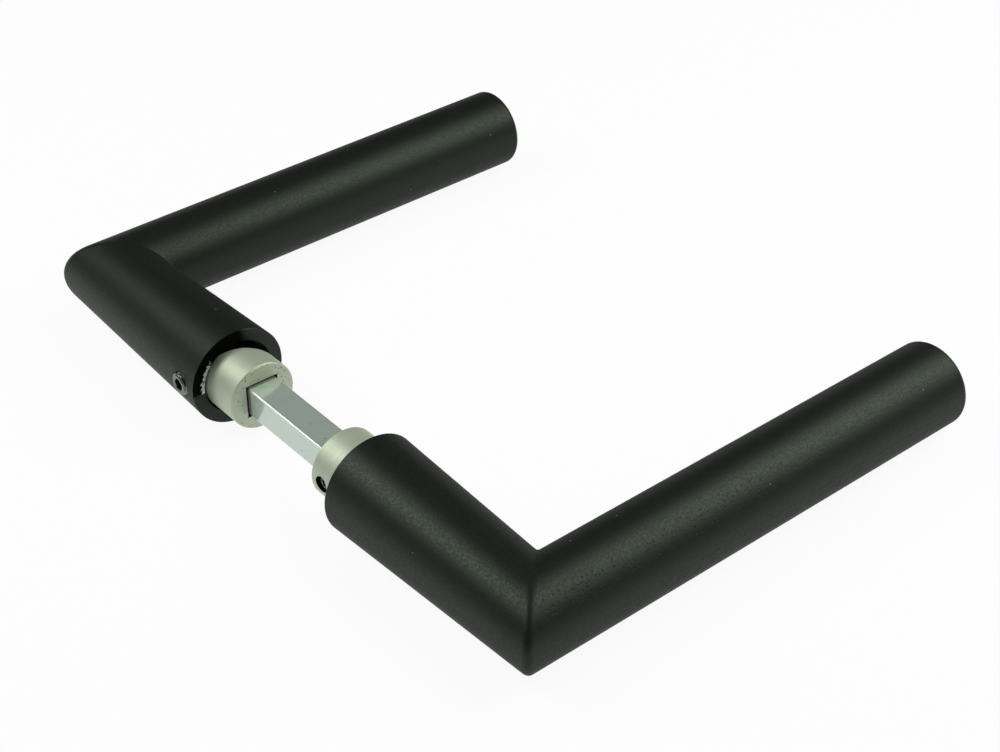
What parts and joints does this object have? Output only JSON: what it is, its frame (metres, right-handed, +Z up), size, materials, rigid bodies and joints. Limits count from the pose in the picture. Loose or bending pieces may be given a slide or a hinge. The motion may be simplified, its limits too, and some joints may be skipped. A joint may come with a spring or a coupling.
{
  "type": "door lever pair",
  "caption": "Straight mitred door levers with round grips and conical necks, joined by a square spindle through turned collars and held by set screws.",
  "frame": {"origin": "on the spindle's axis, halfway between the mouths of the two necks as the free lever is set at rest", "axes": "+Y along the spindle from the fixed lever to the free lever, +X along the grips away from the necks, +Z up with the grips level"},
  "size_m": [0.1424, 0.189, 0.026],
  "materials": {
    "black_coat": "matte black powder coat on cast aluminium",
    "satin_nickel": "satin nickel plate",
    "bright_zinc": "bright zinc plate",
    "screw_steel": "bare turned steel"
  },
  "bodies": {
    "fixed_half": {"fixed_lever": "black_coat", "fixed_collar": "satin_nickel", "spindle": "bright_zinc"},
    "free_half": {"free_lever": "black_coat", "free_collar": "satin_nickel"},
    "clamp_screw": {"clamp_screw": "screw_steel"},
    "spindle_screw": {"spindle_screw": "screw_steel"}
  },
  "joints": [
    {"name": "free_half_slide", "type": "slide", "parent": "fixed_half", "child": "free_half", "axis": [0, 1, 0], "range_m": [-0.012, 0.02]},
    {"name": "clamp_screw_travel", "type": "slide", "parent": "free_half", "child": "clamp_screw", "axis": [1, 0, 0], "range_m": [-0.003, 0.0013]},
    {"name": "spindle_screw_travel", "type": "slide", "parent": "fixed_half", "child": "spindle_screw", "axis": [-1, 0, 0], "range_m": [0, 0.003]}
  ]
}
